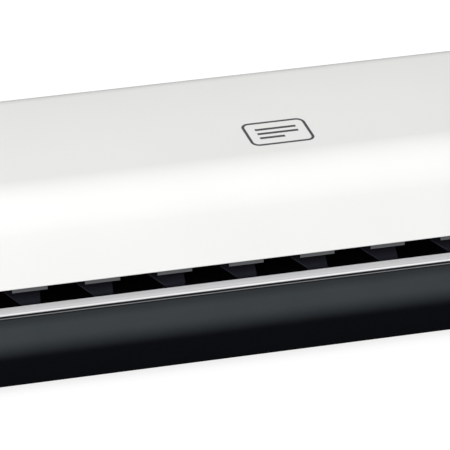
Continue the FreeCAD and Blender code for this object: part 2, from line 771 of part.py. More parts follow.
springs = [coil(side * val("yoke_x - 0.8"), val(y), val("yoke_top"), val("flange_z"), 2.5, 0.45, 5)
           for side in (1, -1) for y in ("hot_y", "pull_y")]
pressure_springs = plain("pressure_springs", Part.makeCompound(springs))


# ---------------------------------------------------------------- heaters
def make_shoe(label, z, middle, reach):
    """Curved heating shoe around the outer side of a hot roller, with a flat pad for its element."""
    arc = rod("roller_radius + 3.6", f"-({reach})", reach, "hot_y", z, "arc", f"{middle} - 55", "110")
    bore = rod("roller_radius + 0.6", f"-({reach}) - 1", f"{reach} + 1", "hot_y", z, "bore")
    if middle > 0:
        flat = block("-155", "155", "hot_y - 7", "hot_y + 7",
                     f"{z} + roller_radius + 1.4", f"{z} + roller_radius + 4.1")
        extras = [block(*mirrored(side, f"{reach} - 3", "yoke_x"), y0, y1, f"{z} + 5.5", f"{z} + 8.5")
                  for side in (1, -1)
                  for y0, y1 in (("hot_y - 11.8", "hot_y - 9.3"), ("hot_y + 8.6", "hot_y + 12.3"))]
    else:
        flat = block("-155", "155", "hot_y - 7", "hot_y + 7",
                     f"{z} - roller_radius - 4.1", f"{z} - roller_radius - 1.4")
        extras = [block(*mirrored(side, "157", "163"), "hot_y - 5", "hot_y + 5", "foot_height + wall",
                        f"{z} - roller_radius - 1.4") for side in (1, -1)]
    return carve(label, join(label + "_blank", arc, flat, *extras), bore)


upper_heater_shoe = make_shoe("upper_heater_shoe", UPPER_Z, 90, "167")
lower_heater_shoe = make_shoe("lower_heater_shoe", LOWER_Z, -90, "164")
UPPER_PAD = f"{UPPER_Z} + roller_radius + 4.1"
LOWER_PAD = f"{LOWER_Z} - roller_radius - 4.1"
upper_heater_element = join("upper_heater_element",
                            block("-150", "150", "hot_y - 6", "hot_y + 6", UPPER_PAD, f"{UPPER_PAD} + 1.2"))
lower_heater_element = join("lower_heater_element",
                            block("-150", "150", "hot_y - 6", "hot_y + 6", f"{LOWER_PAD} - 1.2", LOWER_PAD))
thermal_cutouts = group("thermal_cutouts", *[
    join(fresh("cutout"), post("5", x, "hot_y", f"{UPPER_PAD} + 1.2", f"{UPPER_PAD} + 3.2"),
         post("3.4", x, "hot_y", f"{UPPER_PAD} + 3.2", f"{UPPER_PAD} + 4.6")) for x in ("-70", "10", "90")])
heat_shield = carve("heat_shield",
                    block("-plate_x - 0.8", "plate_x + 0.8", "-29", "31", "flange_z + 1.6", "flange_z + 2.4"),
                    *[block(f"{x} - 2", f"{x} + 2", "-20", "22", "flange_z", "flange_z + 4")
                      for x in range(-150, 151, 25)])


# ---------------------------------------------------------------- gear train
def involute(angle):
    return math.tan(angle) - angle


def tooth_half_angle(radius, pitch_radius, teeth):
    """Half of a tooth's angular thickness at a radius, 20 degree involute with a little backlash."""
    pressure = math.radians(20)
    base = pitch_radius * math.cos(pressure)
    flank = math.acos(min(1.0, base / max(radius, base)))
    play = 0.05 / (2 * pitch_radius)
    return math.pi / (2 * teeth) + involute(pressure) - involute(flank) - play


def gear_profile(teeth, module, phase):
    """Closed wire of a spur gear in the YZ plane; phase is the angle of one tooth from +Y."""
    pitch = teeth * module / 2
    root = pitch - 1.25 * module
    base = pitch * math.cos(math.radians(20))
    radii = [root, max(base, root + 0.1), pitch, pitch + 0.6 * module, pitch + module]
    spots = []
    for tooth in range(teeth):
        middle = phase + 2 * math.pi * tooth / teeth
        rising = [(r, middle - tooth_half_angle(r, pitch, teeth)) for r in radii]
        falling = [(r, middle + tooth_half_angle(r, pitch, teeth)) for r in reversed(radii)]
        spots.extend(V(0, r * math.cos(a), r * math.sin(a)) for r, a in rising + falling)
    return Part.makePolygon(spots + [spots[0]])


def toothed_disc(teeth, phase, x0, width):
    face = Part.Face(gear_profile(teeth, val("gear_module"), phase))
    disc = face.extrude(V(width, 0, 0))
    disc.translate(V(x0, 0, 0))
    return disc


def drum(radius, x0, x1):
    return Part.makeCylinder(radius, x1 - x0, V(x0, 0, 0), V(1, 0, 0))


def mesh_phase(first, teeth_first, phase_first, second, teeth_second):
    """Phase that puts a tooth of the second gear into a gap of the first."""
    line = math.atan2(second[1] - first[1], second[0] - first[0])
    step = (line - phase_first) * teeth_first / (2 * math.pi)
    return line + math.pi - (0.5 - step) * 2 * math.pi / teeth_second


def place_gear(label, shape, y, z):
    item = plain(label, shape)
    item.Placement = FreeCAD.Placement(V(0, y, z), FreeCAD.Rotation())
    return item


def roller_gear(label, phase, centre):
    """Gear fixed on the left end of a roller shaft, with a hub towards the plate."""
    inner = -val("gear_inner")
    disc = toothed_disc(22, phase, inner - val("gear_face"), val("gear_face"))
    hub = drum(6.5, inner - 0.5, inner + 1.3)
    lightening = Part.makeCompound([
        Part.makeCylinder(1.5, 20, V(inner - 12, 6.9 * math.cos(a), 6.9 * math.sin(a)), V(1, 0, 0))
        for a in (math.radians(60 * k) for k in range(6))])
    bore = drum(val("journal_radius"), inner - 20, inner + 5)
    return place_gear(label, disc.cut(lightening).fuse(hub).cut(bore).removeSplitter(), *centre)


spots = {
    "lower_hot": (val("hot_y"), val(LOWER_Z)),
    "lower_pull": (val("pull_y"), val(LOWER_Z)),
    "upper_hot": (val("hot_y"), val(UPPER_Z)),
    "upper_pull": (val("pull_y"), val(UPPER_Z)),
    "idler": (val("idler_y"), val("idler_z")),
    "compound": (val("compound_y"), val("compound_z")),
    "pinion": (val("pinion_y"), val("pinion_z")),
}
phases = {"lower_pull": 0.0}
phases["upper_pull"] = mesh_phase(spots["lower_pull"], 22, 0.0, spots["upper_pull"], 22)
phases["idler"] = mesh_phase(spots["lower_pull"], 22, 0.0, spots["idler"], 16)
phases["lower_hot"] = mesh_phase(spots["idler"], 16, phases["idler"], spots["lower_hot"], 22)
phases["upper_hot"] = mesh_phase(spots["lower_hot"], 22, phases["lower_hot"], spots["upper_hot"], 22)
phases["small"] = mesh_phase(spots["lower_pull"], 22, 0.0, spots["compound"], 12)
phases["pinion"] = mesh_phase(spots["compound"], 40, 0.0, spots["pinion"], 10)

roller_gears = [roller_gear(f"{name}_gear", phases[name], spots[name])
                for name in ("lower_hot", "lower_pull", "upper_hot", "upper_pull")]
face_start = -val("gear_inner + gear_face")
large_start = -val("large_inner + large_face")
stud_bore = drum(val("stud_radius + running_gap"), -220, -150)
idler_shape = toothed_disc(16, phases["idler"], face_start, val("gear_face")).cut(stud_bore)
idler_gear = place_gear("idler_gear", idler_shape, *spots["idler"])
compound_shape = toothed_disc(12, phases["small"], face_start, val("gear_face"))
compound_shape = compound_shape.fuse(toothed_disc(40, 0.0, large_start, val("large_face")))
compound_shape = compound_shape.fuse(drum(4.7, large_start + 1, face_start + 1))
web = drum(17, large_start - 1, large_start + 1.8).cut(drum(6.5, large_start - 2, large_start + 3))
reduction_gear = place_gear("reduction_gear", compound_shape.cut(web).cut(stud_bore).removeSplitter(),
                            *spots["compound"])
pinion_shape = toothed_disc(10, phases["pinion"], large_start, val("large_face")).cut(drum(1.5, -210, -150))
motor_pinion = place_gear("motor_pinion", pinion_shape, *spots["pinion"])

studs = [
    join(fresh("stud"),
         rod("stud_radius", f"-({JOURNAL_LEFT}) - 0.9", "-plate_x - plate_thickness", "idler_y", "idler_z"),
         rod("5", "-plate_x - plate_thickness - 2.8", "-plate_x - plate_thickness", "idler_y", "idler_z")),
    join(fresh("stud"),
         rod("stud_radius", "-motor_plate_x", "-plate_x - plate_thickness", "compound_y", "compound_z"),
         rod("5", "-plate_x - plate_thickness - 2.8", "-plate_x - plate_thickness",
             "compound_y", "compound_z"))]
idler_clip = carve(
    fresh("clip"), rod("4.6", f"-({JOURNAL_LEFT}) - 0.7", f"-({JOURNAL_LEFT}) + 0.1", "idler_y", "idler_z"),
    rod("stud_radius", "-210", "-150", "idler_y", "idler_z"))

SPACERS = [("-8", "67"), ("53", "61"), ("53", "10.5"), ("16", "10.5")]
gear_posts = group("gear_posts", *studs, idler_clip, *[
    rod("3.2", "-motor_plate_x", "-plate_x - plate_thickness", y, z, "spacer") for y, z in SPACERS])
plate_body = new_body("motor_plate_blank")
plate_sketch = new_sketch(plate_body, "YZ_Plane", "plate", "-motor_plate_x - 1.6")
outline(plate_sketch, [("-14", "40"), ("12", "6.5"), ("58", "6.5"),
                       ("58", "66"), ("44", "72"), ("-14", "72")])
ring(plate_sketch, "pinion_y", "pinion_z", "8")
for spacer_y, spacer_z in SPACERS:
    ring(plate_sketch, spacer_y, spacer_z, "1.7")
pad(plate_body, plate_sketch, "1.6")
plate_body.Label = "motor_plate"
chassis_screws = group(
    "chassis_screws", *tie_screws,
    *[side_screw(-1, y, z, "motor_plate_x + 1.6", length=1.2) for y, z in SPACERS],
    *[upward_screw(x, y, "foot_height + 2.4", length=5) for x, y in FRAME_SEATS])
MOTOR_FACE = "-motor_plate_x - 1.6"
EARS = [("pinion_y - 8.5", "pinion_z + 22.6"), ("pinion_y + 8.5", "pinion_z - 22.6")]
motor_blank = join(
    "motor_blank",
    rod("motor_radius", f"{MOTOR_FACE} - 21", MOTOR_FACE, "pinion_y", "pinion_z", "can"),
    rod("7.8", f"{MOTOR_FACE} - 1", f"{MOTOR_FACE} + 1.4", "pinion_y", "pinion_z", "boss"),
    *[rod("3.6", f"{MOTOR_FACE} - 1.2", MOTOR_FACE, y, z, "ear") for y, z in EARS],
    block(f"{MOTOR_FACE} - 18", f"{MOTOR_FACE} - 6", "pinion_y - 6", "pinion_y + 6",
          "pinion_z - 24.5", "pinion_z - 19"))
drive_motor = carve("drive_motor", motor_blank,
                    rod("1.55", f"{MOTOR_FACE} - 10", f"{MOTOR_FACE} + 3",
                        "pinion_y", "pinion_z", "shaft_bore"))
motor_shaft = join("motor_shaft",
                   rod("1.5", f"{MOTOR_FACE} - 9.8", "-large_inner + 0.4", "pinion_y", "pinion_z", "mshaft"))

# ---------------------------------------------------------------- release shaft and lever
CAM_Y = "release_y + cam_offset*cos(cam_rest)"
CAM_Z = "release_z + cam_offset*sin(cam_rest)"
release_shaft = join(
    "release_shaft",
    rod("release_radius", "-plate_x - plate_thickness - 1.4", f"{half} - 2.4",
        "release_y", "release_z", "shaft"),
    *[rod("cam_radius", *mirrored(side, "yoke_x - 0.2", "yoke_x + yoke_thickness + 0.2"), CAM_Y, CAM_Z, "cam")
      for side in (1, -1)])

lever_body = new_body("release_lever")
lever_sketch = new_sketch(lever_body, "YZ_Plane", "arm", f"{half} - 6.6")


def lever_point(reach, across):
    """Corner of the lever in its resting direction."""
    return (f"release_y + ({reach})*cos(lever_rest) - ({across})*sin(lever_rest)",
            f"release_z + ({reach})*sin(lever_rest) + ({across})*cos(lever_rest)")


LEVER_OUTLINE = [("0", "-6.5"), ("lever_reach - 2", "-4.6"), ("lever_reach", "-3"),
                 ("lever_reach", "3"), ("lever_reach - 2", "4.6"), ("0", "6.5")]
outline(lever_sketch, [lever_point(reach, across) for reach, across in LEVER_OUTLINE])
pad(lever_body, lever_sketch, "6.2")
hub_sketch = new_sketch(lever_body, "YZ_Plane", "hub", f"{half} - 6.6")
ring(hub_sketch, "release_y", "release_z", "9")
pad(lever_body, hub_sketch, "6.2")
blend(lever_body, "1", rim(f"{half} - 0.4"))
bore_sketch = new_sketch(lever_body, "YZ_Plane", "bore", f"{half} - 6.6")
ring(bore_sketch, "release_y", "release_z", "release_radius")
pocket(lever_body, bore_sketch, "4.2", reverse=True)

# ---------------------------------------------------------------- control panel and electronics
PANEL_Z = "(shoulder_z + (panel_y + shoulder_y)*tan(top_slope))"


def on_panel(item, across, along, above):
    """Seat a primitive on the tilted panel plane, measured from the panel's centre."""
    item.Placement = FreeCAD.Placement(V(), FreeCAD.Rotation(V(1, 0, 0), val("top_slope")))
    seat(item, f"panel_x + ({across})",
         f"panel_y + ({along})*cos(top_slope) - ({above})*sin(top_slope)",
         f"{PANEL_Z} + ({along})*sin(top_slope) + ({above})*cos(top_slope)")
    return item


def panel_block(x0, x1, y0, y1, z0, z1):
    return on_panel(block(x0, x1, y0, y1, z0, z1), x0, y0, z0)


def panel_post(radius, across, along, z0, z1):
    return on_panel(post(radius, "0", "0", z0, z1), across, along, z0)


BUTTONS = {"standby_button": ("11", "-9.5"), "hotter_button": ("11", "4.5"),
           "cooler_button": ("-11", "4.5"), "reverse_button": ("-11", "-9.5")}
panel_holes = [panel_post("button_radius + 0.3", x, y, "-6", "4") for x, y in BUTTONS.values()]
lens_cut = panel_block("-9", "9", "12.8", "15.8", "-6", "4")
control_panel = carve("control_panel",
                      panel_block("-panel_width/2 + 0.4", "panel_width/2 - 0.4", "-panel_depth/2 + 0.6",
                                  "panel_depth/2 - 0.6", "-wall", "0.4"), *panel_holes, lens_cut)
indicator_lens = join("indicator_lens", panel_block("-9", "9", "12.8", "15.8", "-wall", "0.6"))
buttons = [join(name, panel_post("button_radius", x, y, "-3.4", "1.4"),
                panel_post("button_radius + 1", x, y, "-4.4", "-3.4"))
           for name, (x, y) in BUTTONS.items()]
control_board = join("control_board",
                     panel_block("-21", "21", "-18", "18", "-9.6", "-8"),
                     *[panel_block(f"{x} - 3", f"{x} + 3", f"{y} - 3", f"{y} + 3", "-8", "-5.6")
                       for x, y in BUTTONS.values()],
                     panel_block("-8", "8", "12.9", "15.7", "-8", "-4"))
power_board = join("power_board",
                   block("182", "232", "-40", "30", "10", "11.6"),
                   *[post("2.5", x, y, "foot_height + wall", "10")
                     for x in ("186", "228") for y in ("-36", "26")],
                   block("188", "214", "-34", "-12", "11.6", "32"),
                   post("6", "222", "-28", "11.6", "30"),
                   post("6", "222", "-12", "11.6", "30"),
                   block("190", "206", "2", "22", "11.6", "26"),
                   block("212", "228", "6", "16", "11.6", "24"))

inlet_shell = join("inlet_shell",
                   block("inlet_x - 14", "inlet_x + 14", "base_bulge_y - 2.1", "base_bulge_y + 0.1",
                         "inlet_z - 11", "inlet_z + 11"),
                   block("inlet_x - 13", "inlet_x + 13", "50", "base_bulge_y - 1",
                         "inlet_z - 9.5", "inlet_z + 9.5"))
inlet_hole = block("inlet_x - 11.5", "inlet_x + 11.5", "base_bulge_y - 16", "base_bulge_y + 2",
                   "inlet_z - 8", "inlet_z + 8")
power_inlet = carve("power_inlet", inlet_shell, inlet_hole)
inlet_pins = group("inlet_pins", *[
    block(f"inlet_x + {dx} - 1", f"inlet_x + {dx} + 1", "base_bulge_y - 16", "base_bulge_y - 3",
          f"inlet_z + {dz} - 2.5", f"inlet_z + {dz} + 2.5") for dx, dz in ((-7, -1.5), (0, 2.5), (7, -1.5))])

rocker_frame = carve("rocker_switch_body",
                     join("rocker_blank",
                          block("rocker_x - 7.5", "rocker_x + 7.5",
                                "base_bulge_y - 2.1", "base_bulge_y + 0.1",
                                "inlet_z - 11", "inlet_z + 11"),
                          block("rocker_x - 6.8", "rocker_x + 6.8", "58", "base_bulge_y - 1",
                                "inlet_z - 10", "inlet_z + 10")),
                     block("rocker_x - 5.8", "rocker_x + 5.8", "64.5", "base_bulge_y + 2",
                           "inlet_z - 9", "inlet_z + 9"),
                     rod("1.65", "rocker_x - 6.6", "rocker_x + 6.6", "rocker_y", "inlet_z"))
rocker_body = new_body("power_rocker")
rocker_sketch = new_sketch(rocker_body, "YZ_Plane", "paddle", "rocker_x")


def rocker_point(out, up):
    """Corner of the paddle, tipped six degrees to its off side."""
    return (f"rocker_y + ({out})*cos(6) + ({up})*sin(6)", f"inlet_z - ({out})*sin(6) + ({up})*cos(6)")


outline(rocker_sketch, [rocker_point("-2", "-5"), rocker_point("4.8", "-8"), rocker_point("3.4", "0"),
                        rocker_point("4.8", "8"), rocker_point("-2", "5")])
pad(rocker_body, rocker_sketch, "11", symmetric=True)
pivot_sketch = new_sketch(rocker_body, "YZ_Plane", "pivot", "rocker_x")
ring(pivot_sketch, "rocker_y", "inlet_z", "1.5")
pad(rocker_body, pivot_sketch, "12.8", symmetric=True)
rocker_body.Label = "power_rocker"


# ---------------------------------------------------------------- wiring
def cable(radius, points):
    """Insulated lead with rounded corners at its bends."""
    solid = None
    for (a, b) in zip(points, points[1:]):
        start, end = V(*a), V(*b)
        run = Part.makeCylinder(radius, (end - start).Length, start, end - start)
        run = run.fuse(Part.makeSphere(radius, end))
        solid = run if solid is None else solid.fuse(run)
    return solid


wiring_loom = plain("wiring_loom", Part.makeCompound([
    cable(1.6, [(201, 49.8, 18), (201, 40, 18), (198, 34, 18), (198, 23.7, 18)]),
    cable(1.6, [(222, 57.9, 18), (222, 56.2, 18), (217.7, 52, 18), (217.7, 44, 18), (220, 24, 18),
                (220, 17.7, 18)]),
    cable(1.4, [(228, 2, 12), (232, 0, 30), (228, -6, 60), (224, -10, 70)]),
    cable(1.4, [(190, 26, 13.1), (184, 40, 14), (180, 64, 12), (-190, 64, 12),
                (-212, 56, 14), (-212, 16, 18), (-211, 15.7, 20.5)]),
]))

# ---------------------------------------------------------------- check and write
NODES = [top_cover, base_tray, left_end_cap, right_end_cap, entry_strip, lower_entry_guide, upper_entry_guide,
         lower_exit_guide, upper_exit_guide, left_side_plate, right_side_plate,
         left_yoke, right_yoke, tie_rods,
         chassis_screws, case_screws, rubber_feet, *rollers, lower_roller_bushes, upper_roller_bushes,
         pressure_springs, upper_heater_shoe, lower_heater_shoe, upper_heater_element, lower_heater_element,
         thermal_cutouts, heat_shield, *roller_gears, idler_gear, reduction_gear, motor_pinion, gear_posts,
         plate_body, drive_motor, motor_shaft, release_shaft, lever_body,
         control_panel, indicator_lens, *buttons, control_board, power_board, power_inlet,
         inlet_pins, rocker_frame, rocker_body, wiring_loom]

doc.recompute()
for item in doc.Objects:
    if "Invalid" in item.State or "Error" in item.State:
        raise RuntimeError(f"{item.Label} is {item.State}")
for node in NODES:
    if node.Shape.isNull() or not node.Shape.isValid():
        raise RuntimeError(f"{node.Label} has no valid shape")
    node.Shape.exportStep(f"parts/{node.Label}.step")
print(len(NODES), "sub-parts written")
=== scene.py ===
"""Looks of a desktop pouch laminator around its CAD frame: materials, printed marks, studio and camera."""

import json
import math
import bpy
import bmesh
from mathutils import Matrix, Vector


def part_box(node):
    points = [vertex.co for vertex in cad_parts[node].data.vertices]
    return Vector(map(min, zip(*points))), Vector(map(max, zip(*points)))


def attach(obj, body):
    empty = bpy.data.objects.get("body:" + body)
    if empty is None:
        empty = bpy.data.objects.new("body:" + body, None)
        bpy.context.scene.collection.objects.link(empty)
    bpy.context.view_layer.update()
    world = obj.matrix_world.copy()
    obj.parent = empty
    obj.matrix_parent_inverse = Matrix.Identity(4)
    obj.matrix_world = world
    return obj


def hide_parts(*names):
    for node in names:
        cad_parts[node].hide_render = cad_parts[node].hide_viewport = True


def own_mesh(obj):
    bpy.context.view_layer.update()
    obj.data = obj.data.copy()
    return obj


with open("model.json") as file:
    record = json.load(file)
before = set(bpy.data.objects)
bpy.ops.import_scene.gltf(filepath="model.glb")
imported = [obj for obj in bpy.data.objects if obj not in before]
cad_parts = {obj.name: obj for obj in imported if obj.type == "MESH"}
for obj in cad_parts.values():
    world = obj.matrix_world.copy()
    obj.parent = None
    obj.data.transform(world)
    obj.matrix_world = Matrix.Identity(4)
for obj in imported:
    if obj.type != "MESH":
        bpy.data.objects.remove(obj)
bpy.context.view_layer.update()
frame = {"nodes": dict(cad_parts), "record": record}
MM = 0.001
FINGER_PITCH = 31.1 * MM

# ---------------------------------------------------------------- material building


class Nodes:
    """Builds one procedural material, with its position read in object space."""

    def __init__(self, name, base, roughness, metallic=0.0, ior=1.45, coat=0.0,
                 coat_roughness=0.05, specular=0.5):
        self.material = bpy.data.materials.new(name)
        self.material.use_nodes = True
        self.tree = self.material.node_tree
        self.shader = self.tree.nodes["Principled BSDF"]
        self.shader.inputs["Base Color"].default_value = (*base, 1)
        self.shader.inputs["Roughness"].default_value = roughness
        self.shader.inputs["Metallic"].default_value = metallic
        self.shader.inputs["IOR"].default_value = ior
        self.shader.inputs["Coat Weight"].default_value = coat
        self.shader.inputs["Coat Roughness"].default_value = coat_roughness
        self.shader.inputs["Specular IOR Level"].default_value = specular
        self.place = self.add("ShaderNodeTexCoord").outputs["Object"]

    def add(self, kind, **settings):
        node = self.tree.nodes.new(kind)
        for key, value in settings.items():
            setattr(node, key, value)
        return node

    def link(self, source, target):
        self.tree.links.new(source, target)
        return source

    def math(self, operation, a, b=None, c=None):
        node = self.add("ShaderNodeMath", operation=operation)
        for socket, value in zip(node.inputs, (a, b, c)):
            if value is None:
                continue
            if hasattr(value, "is_output"):
                self.link(value, socket)
            else:
                socket.default_value = value
        return node.outputs[0]

    def stretched(self, scale):
        """Object position scaled differently along each axis."""
        mapping = self.add("ShaderNodeMapping")
        mapping.inputs["Scale"].default_value = scale
        self.link(self.place, mapping.inputs["Vector"])
        return mapping.outputs["Vector"]

    def noise(self, scale, detail=3.0, roughness=0.55, vector=None):
        node = self.add("ShaderNodeTexNoise")
        node.inputs["Scale"].default_value = scale
        node.inputs["Detail"].default_value = detail
        node.inputs["Roughness"].default_value = roughness
        self.link(vector or self.place, node.inputs["Vector"])
        return node.outputs["Fac"]

    def ramp(self, fac, stops):
        node = self.add("ShaderNodeValToRGB")
        elements = node.color_ramp.elements
        while len(elements) < len(stops):
            elements.new(0.5)
        for element, (at, colour) in zip(elements, stops):
            element.position = at
            element.color = (*colour, 1)
        self.link(fac, node.inputs["Fac"])
        return node.outputs["Color"]

    def spread(self, fac, low, high):
        """Noise value mapped to a range of one shader number."""
        node = self.add("ShaderNodeMapRange")
        node.inputs["From Min"].default_value = 0.3
        node.inputs["From Max"].default_value = 0.7
        node.inputs["To Min"].default_value = low
        node.inputs["To Max"].default_value = high
        self.link(fac, node.inputs["Value"])
        return node.outputs["Result"]

    def axis(self, name):
        split = self.add("ShaderNodeSeparateXYZ")
        self.link(self.place, split.inputs[0])
        return split.outputs[name]

    def step(self, value, start, end):
        node = self.add("ShaderNodeMapRange", interpolation_type="SMOOTHSTEP")
        node.inputs["From Min"].default_value = start
        node.inputs["From Max"].default_value = end
        self.link(value, node.inputs["Value"])
        return node.outputs["Result"]

    def between(self, value, low, high):
        """One inside the range and zero outside, with short soft ends."""
        soft = 0.06 * MM
        risen = self.step(value, low - soft, low + soft)
        return self.math("SUBTRACT", risen, self.step(value, high - soft, high + soft))

    def mix(self, fac, a, b):
        node = self.add("ShaderNodeMix", data_type="RGBA")
        self.link(fac, node.inputs["Factor"])
        for socket, value in ((node.inputs[6], a), (node.inputs[7], b)):
            if hasattr(value, "is_output"):
                self.link(value, socket)
            else:
                socket.default_value = (*value, 1)
        return node.outputs[2]

    def colour(self, source):
        self.link(source, self.shader.inputs["Base Color"])

    def rough(self, source):
        self.link(source, self.shader.inputs["Roughness"])

    def bump(self, height, distance, strength=1.0):
        node = self.add("ShaderNodeBump")
        node.inputs["Distance"].default_value = distance
        node.inputs["Strength"].default_value = strength
        self.link(height, node.inputs["Height"])
        if self.shader.inputs["Normal"].is_linked:
            self.link(self.shader.inputs["Normal"].links[0].from_socket, node.inputs["Normal"])
        self.link(node.outputs["Normal"], self.shader.inputs["Normal"])


def shade(colour, factor):
    return tuple(min(1.0, c * factor) for c in colour)


def moulded(name, base, roughness, grain=0.00002, grain_scale=2600, **extra):
    """Moulded plastic: fine spark-eroded grain, slow colour drift and uneven gloss."""
    m = Nodes(name, base, roughness, **extra)
    drift = m.noise(28, 2)
    m.colour(m.ramp(drift, [(0.3, shade(base, 0.94)), (0.7, shade(base, 1.05))]))
    m.rough(m.spread(m.noise(70, 3), roughness * 0.85, roughness * 1.15))
    m.bump(m.noise(grain_scale, 2), grain)
    return m


def glossy_white():
    """Cover plastic: even white with very slight orange peel and faint handling marks."""
    base = (0.80, 0.80, 0.786)
    m = Nodes("cover_white", base, 0.2, ior=1.5, coat=0.4, coat_roughness=0.12)
    m.colour(m.ramp(m.noise(14, 2), [(0.3, shade(base, 0.985)), (0.7, shade(base, 1.012))]))
    m.rough(m.spread(m.noise(45, 4), 0.17, 0.25))
    m.bump(m.noise(420, 2), 0.000012)
    m.bump(m.noise(3200, 1), 0.000003)
    return m


def painted_edge_light(m, toned, dark):
    """Top front edge of the base: a pale painted highlight line, a near-black painted shadow line just
    below it, and painted shade over a darker stretch of the face below them.
    """
    height, depth = m.axis("Z"), m.axis("Y")

    def stripe(lowest, highest, front, back):
        return m.math("MULTIPLY", m.between(height, lowest * MM, highest * MM),
                      m.between(depth, front * MM, back * MM))

    # painted shade: the front face darkens towards the top edge, under the strip's overhang
    painted_edge_shade = m.step(height, 28 * MM, 32.6 * MM)
    toned = m.mix(m.math("MULTIPLY", painted_edge_shade, 0.42), toned, dark)
    # painted shadow: near-black line across the front of the edge rounding
    toned = m.mix(stripe(32.45, 32.95, -69.9, -69.3), toned, (0.006, 0.007, 0.009))
    # painted highlight: pale line along the top of the rounded front edge and the ledge behind it
    return m.mix(stripe(32.8, 33.2, -69.4, -68.7), toned, (0.2, 0.205, 0.21))


def charcoal(name, front_edge=False):
    """Base and caps: grained charcoal, with painted shade making the undercut below the bulge darker."""
    upper = (0.034, 0.040, 0.044)
    # painted shade: near-black colour for the undercut below the bulge
    undercut_shade = (0.0008, 0.0013, 0.0026)
    m = Nodes(name, upper, 0.42, specular=0.14)
    height = m.axis("Z")
    # painted shade: undercut colour below 16.2 mm, blending to the charcoal above 25 mm
    lit = m.step(height, 16.2 * MM, 25.0 * MM)
    drift = m.noise(30, 3)
    upper_drift = m.ramp(drift, [(0.3, shade(upper, 0.93)), (0.7, shade(upper, 1.06))])
    toned = m.mix(lit, undercut_shade, upper_drift)
    # painted highlight and painted shadow along the top front edge of the base
    if front_edge:
        toned = painted_edge_light(m, toned, undercut_shade)
    m.colour(toned)
    m.rough(m.spread(m.noise(90, 3), 0.38, 0.48))
    m.bump(m.noise(1900, 2), 0.00008)
    return m


def brushed(name, base, roughness, along=(6, 900, 900), depth=0.000006, metallic=1.0, **extra):
    """Metal with fine brush lines along X."""
    m = Nodes(name, base, roughness, metallic=metallic, **extra)
    lines = m.noise(1.0, 3, vector=m.stretched(along))
    m.colour(m.ramp(lines, [(0.25, shade(base, 0.86)), (0.75, shade(base, 1.08))]))
    m.rough(m.spread(lines, roughness * 0.8, roughness * 1.25))
    m.bump(lines, depth)
    return m


def turned(name, base, roughness):
    """Turned or ground metal with soft tool marks and light staining."""
    m = Nodes(name, base, roughness, metallic=1.0)
    stain = m.noise(60, 4)
    m.colour(m.ramp(stain, [(0.3, shade(base, 0.82)), (0.7, base)]))
    marks = m.noise(1.0, 2, vector=m.stretched((1500, 40, 40)))
    m.rough(m.spread(marks, roughness * 0.75, roughness * 1.3))
    m.bump(marks, 0.000004)
    return m


def guide_black():
    """Gloss black guides with navy-tinted ramps; painted light makes the front faces of the finger noses
    behind the lip a lighter satin grey and the ramps paler deeper in the slot.
    """
    m = Nodes("guide_black", (0.002, 0.002, 0.003), 0.2)
    depth, height = m.axis("Y"), m.axis("Z")
    nose_back, upper_guide_z, soft = -56.8 * MM, 37.1 * MM, 0.1 * MM
    # painted light: the front faces of the finger noses, facing the lamps, get a lighter grey
    front = m.math("SUBTRACT", 1.0, m.step(depth, nose_back - soft, nose_back + soft))
    nose = m.math("MULTIPLY", front, m.step(height, upper_guide_z - soft, upper_guide_z + soft))
    across = m.math("PINGPONG", m.math("ADD", m.axis("X"), 10 * FINGER_PITCH), FINGER_PITCH / 2)
    from_centre = m.math("SUBTRACT", FINGER_PITCH / 2, across)
    half_width = m.math("MULTIPLY_ADD", depth, 0.255, 19 * MM)
    ramp = m.math("MULTIPLY", m.math("LESS_THAN", from_centre, half_width),
                  m.math("SUBTRACT", 1.0, m.step(height, 35.5 * MM, 36 * MM)))
    plain = m.ramp(m.noise(120, 2), [(0.3, (0.001, 0.001, 0.0012)), (0.7, (0.002, 0.002, 0.0024))])
    # painted light and shade: the navy ramps are near-black at the slot's front and paler deeper inside
    ramp_tint_and_light = m.mix(m.step(depth, -62.5 * MM, -55 * MM), (0.003, 0.0035, 0.005), (0.034, 0.037, 0.05))
    navy = m.mix(ramp, plain, ramp_tint_and_light)
    m.colour(m.mix(nose, navy, (0.1, 0.105, 0.11)))
    m.rough(m.spread(m.noise(200, 2), 0.16, 0.26))
    m.bump(m.noise(900, 2), 0.000006)
    return m


def silicone():
    """Roller sleeves: orange-red rubber, slightly stained."""
    m = Nodes("silicone", (0.55, 0.17, 0.09), 0.6)
    m.colour(m.ramp(m.noise(90, 4), [(0.3, (0.46, 0.13, 0.07)), (0.7, (0.6, 0.2, 0.11))]))
    m.bump(m.noise(1600, 3), 0.00003)
    m.rough(m.spread(m.noise(60, 3), 0.5, 0.72))
    return m


def circuit_board():
    """Green board with a faint grid of tracks; the parts that stand above it are black."""
    m = Nodes("board_green", (0.02, 0.13, 0.05), 0.35)
    tracks = m.add("ShaderNodeTexBrick")
    tracks.inputs["Scale"].default_value = 160
    tracks.inputs["Mortar Size"].default_value = 0.012
    m.link(m.place, tracks.inputs["Vector"])
    tone = m.ramp(tracks.outputs["Fac"], [(0.4, (0.02, 0.12, 0.045)), (0.6, (0.05, 0.2, 0.08))])
    board_top, soft = 11.8 * MM, 0.1 * MM
    above = m.step(m.axis("Z"), board_top - soft, board_top + soft)
    m.colour(m.mix(above, tone, (0.03, 0.03, 0.035)))
    m.bump(tracks.outputs["Fac"], 0.00003)
    return m


